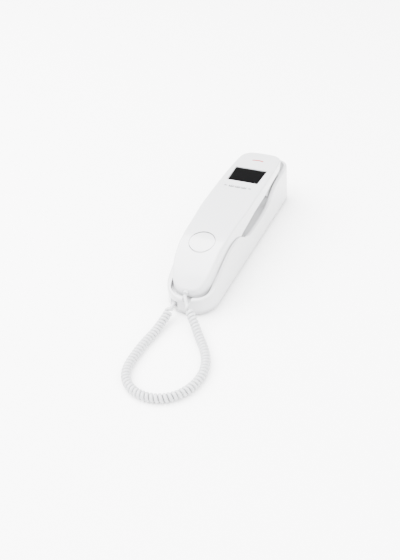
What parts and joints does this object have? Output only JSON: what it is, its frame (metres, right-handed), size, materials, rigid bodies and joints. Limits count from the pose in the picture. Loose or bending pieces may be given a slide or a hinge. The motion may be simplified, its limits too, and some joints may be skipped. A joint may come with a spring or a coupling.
{
  "type": "slimline wall phone",
  "caption": "Slim corded telephone that stands or hangs on a wall: long base with a cup, lift-off handset with display, round button and dial keys, and a curly cord.",
  "frame": {"origin": "under the middle of the base without its cord, at the bottom of the feet", "axes": "+Z out of the table or wall, +Y along the phone towards the earpiece end, +X to the right seen from in front"},
  "size_m": [0.0822, 0.3594, 0.0608],
  "materials": {
    "white_shell": "gloss, moulded",
    "white_face": "gloss, moulded",
    "keys": "satin",
    "circuit_board": "solder mask",
    "rubber": "matt",
    "silicone": "matt",
    "steel": "zinc plated",
    "brass": "rolled",
    "black_plastic": "moulded",
    "cord_sleeve": "satin soft vinyl",
    "clear_plug": "clear moulding",
    "black_window": "polished",
    "display": "glass cell in a frame",
    "red_lens": "translucent"
  },
  "bodies": {
    "base": {"base_lower_shell": "white_shell", "base_upper_shell": "white_shell", "rubber_feet": "rubber", "base_screws": "steel", "base_pcb": "circuit_board", "ringer_sounder": "brass", "hook_switch_body": "black_plastic", "hook_spring": "steel", "base_cord_jack": "black_plastic", "line_jack": "black_plastic", "ringer_switch_body": "black_plastic", "cord_coil": "cord_sleeve", "cord_tail_base": "cord_sleeve", "cord_tail_handset": "cord_sleeve", "cord_plug_base": "clear_plug"},
    "handset": {"handset_outer_shell": "white_face", "handset_inner_shell": "white_shell", "lcd_window": "black_window", "lcd_module": "display", "call_light_lens": "red_lens", "call_light_led": "red_lens", "handset_pcb": "circuit_board", "earpiece_speaker": "black_plastic", "microphone": "black_plastic", "keypad_mat": "silicone", "handset_weight": "steel", "handset_screws": "steel", "face_switch": "black_plastic", "handset_cord_boot": "cord_sleeve"},
    "hook_plunger": {"hook_plunger": "white_shell"},
    "ringer_knob": {"ringer_switch_knob": "keys"},
    "face_button": {"face_button": "white_face"},
    "key_1": {"key_1": "keys"},
    "key_2": {"key_2": "keys"},
    "key_3": {"key_3": "keys"},
    "key_4": {"key_4": "keys"},
    "key_5": {"key_5": "keys"},
    "key_6": {"key_6": "keys"},
    "key_7": {"key_7": "keys"},
    "key_8": {"key_8": "keys"},
    "key_9": {"key_9": "keys"},
    "key_star": {"key_star": "keys"},
    "key_0": {"key_0": "keys"},
    "key_hash": {"key_hash": "keys"},
    "key_flash": {"key_flash": "keys"},
    "key_down": {"key_down": "keys"},
    "key_up": {"key_up": "keys"},
    "key_redial": {"key_redial": "keys"}
  },
  "joints": [
    {"name": "handset_lift", "type": "slide", "parent": "base", "child": "handset", "axis": [0, 0, 1], "range_m": [0, 0.08]},
    {"name": "hook_plunger_rise", "type": "slide", "parent": "base", "child": "hook_plunger", "axis": [0, 0, 1], "range_m": [0, 0.004], "deforming": ["hook_spring"]},
    {"name": "ringer_switch_slide", "type": "slide", "parent": "base", "child": "ringer_knob", "axis": [0, 1, 0], "range_m": [0, 0.0038]},
    {"name": "face_button_press", "type": "slide", "parent": "handset", "child": "face_button", "axis": [0, 0.225, -0.9744], "range_m": [0, 0.001], "stiffness_N_per_m": 250, "springref_m": -0.0003},
    {"name": "key_1_press", "type": "slide", "parent": "handset", "child": "key_1", "axis": [0, 0, 1], "range_m": [0, 0.001], "stiffness_N_per_m": 200},
    {"name": "key_2_press", "type": "slide", "parent": "handset", "child": "key_2", "axis": [0, 0, 1], "range_m": [0, 0.001], "stiffness_N_per_m": 200},
    {"name": "key_3_press", "type": "slide", "parent": "handset", "child": "key_3", "axis": [0, 0, 1], "range_m": [0, 0.001], "stiffness_N_per_m": 200},
    {"name": "key_4_press", "type": "slide", "parent": "handset", "child": "key_4", "axis": [0, 0, 1], "range_m": [0, 0.001], "stiffness_N_per_m": 200},
    {"name": "key_5_press", "type": "slide", "parent": "handset", "child": "key_5", "axis": [0, 0, 1], "range_m": [0, 0.001], "stiffness_N_per_m": 200},
    {"name": "key_6_press", "type": "slide", "parent": "handset", "child": "key_6", "axis": [0, 0, 1], "range_m": [0, 0.001], "stiffness_N_per_m": 200},
    {"name": "key_7_press", "type": "slide", "parent": "handset", "child": "key_7", "axis": [0, 0, 1], "range_m": [0, 0.001], "stiffness_N_per_m": 200},
    {"name": "key_8_press", "type": "slide", "parent": "handset", "child": "key_8", "axis": [0, 0, 1], "range_m": [0, 0.001], "stiffness_N_per_m": 200},
    {"name": "key_9_press", "type": "slide", "parent": "handset", "child": "key_9", "axis": [0, 0, 1], "range_m": [0, 0.001], "stiffness_N_per_m": 200},
    {"name": "key_star_press", "type": "slide", "parent": "handset", "child": "key_star", "axis": [0, 0, 1], "range_m": [0, 0.001], "stiffness_N_per_m": 200},
    {"name": "key_0_press", "type": "slide", "parent": "handset", "child": "key_0", "axis": [0, 0, 1], "range_m": [0, 0.001], "stiffness_N_per_m": 200},
    {"name": "key_hash_press", "type": "slide", "parent": "handset", "child": "key_hash", "axis": [0, 0, 1], "range_m": [0, 0.001], "stiffness_N_per_m": 200},
    {"name": "key_flash_press", "type": "slide", "parent": "handset", "child": "key_flash", "axis": [0, 0, 1], "range_m": [0, 0.001], "stiffness_N_per_m": 200},
    {"name": "key_down_press", "type": "slide", "parent": "handset", "child": "key_down", "axis": [0, 0, 1], "range_m": [0, 0.001], "stiffness_N_per_m": 200},
    {"name": "key_up_press", "type": "slide", "parent": "handset", "child": "key_up", "axis": [0, 0, 1], "range_m": [0, 0.001], "stiffness_N_per_m": 200},
    {"name": "key_redial_press", "type": "slide", "parent": "handset", "child": "key_redial", "axis": [0, 0, 1], "range_m": [0, 0.001], "stiffness_N_per_m": 200}
  ],
  "couplings": [
    {"joint": "hook_plunger_rise", "follows": "handset_lift", "ratio": 0.05}
  ]
}
